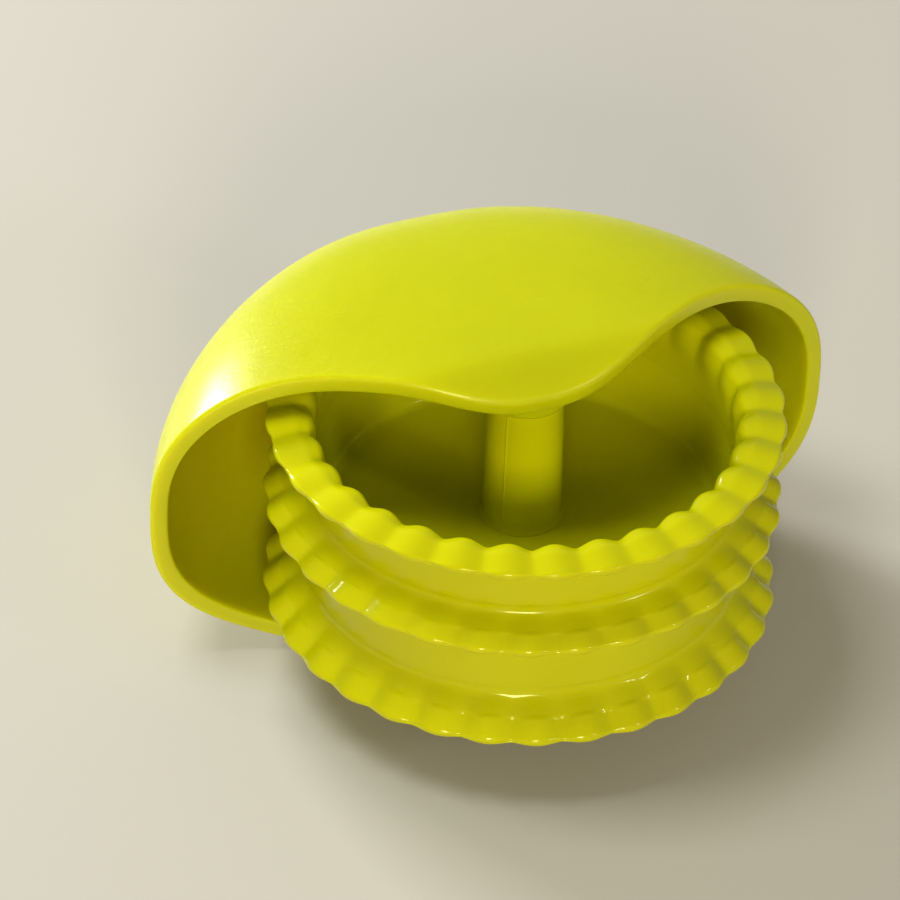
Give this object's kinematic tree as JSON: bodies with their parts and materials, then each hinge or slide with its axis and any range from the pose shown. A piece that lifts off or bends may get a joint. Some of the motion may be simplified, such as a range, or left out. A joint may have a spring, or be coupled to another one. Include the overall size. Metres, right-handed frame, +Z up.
{
  "type": "three-wheel pastry cutter",
  "caption": "Palm-held pastry cutter: a domed plastic palm shell carries a drum of fluted cutting wheels that turns on a central axle.",
  "frame": {"origin": "on the drum's axis, in the plane of the flat under the lower lobe that the tool rests on", "axes": "+Z up along the drum's axis, -Y out of the open side of the palm shell where the wheels stick out, +X to the right"},
  "size_m": [0.0844, 0.0712, 0.0429],
  "materials": {
    "shell_plastic": "lime-green moulding with a fine satin grain",
    "drum_plastic": "glossy lime-green moulding",
    "pin_steel": "plain turned steel",
    "bearing_plastic": "natural white slippery plastic"
  },
  "bodies": {
    "handle": {"handle_shell": "shell_plastic", "axle_pin": "pin_steel", "axle_plug": "shell_plastic", "upper_washer": "bearing_plastic", "lower_washer": "bearing_plastic"},
    "drum": {"drum_core": "drum_plastic", "upper_post": "drum_plastic", "lower_post": "drum_plastic", "upper_bush": "bearing_plastic", "lower_bush": "bearing_plastic", "upper_wheel": "drum_plastic", "middle_wheel": "drum_plastic", "lower_wheel": "drum_plastic", "groove_sleeve": "drum_plastic"}
  },
  "joints": [
    {"name": "drum_spin", "type": "hinge", "parent": "handle", "child": "drum", "pos_m": [0, 0, 0.02175], "axis": [0, 0, 1], "continuous": true}
  ]
}
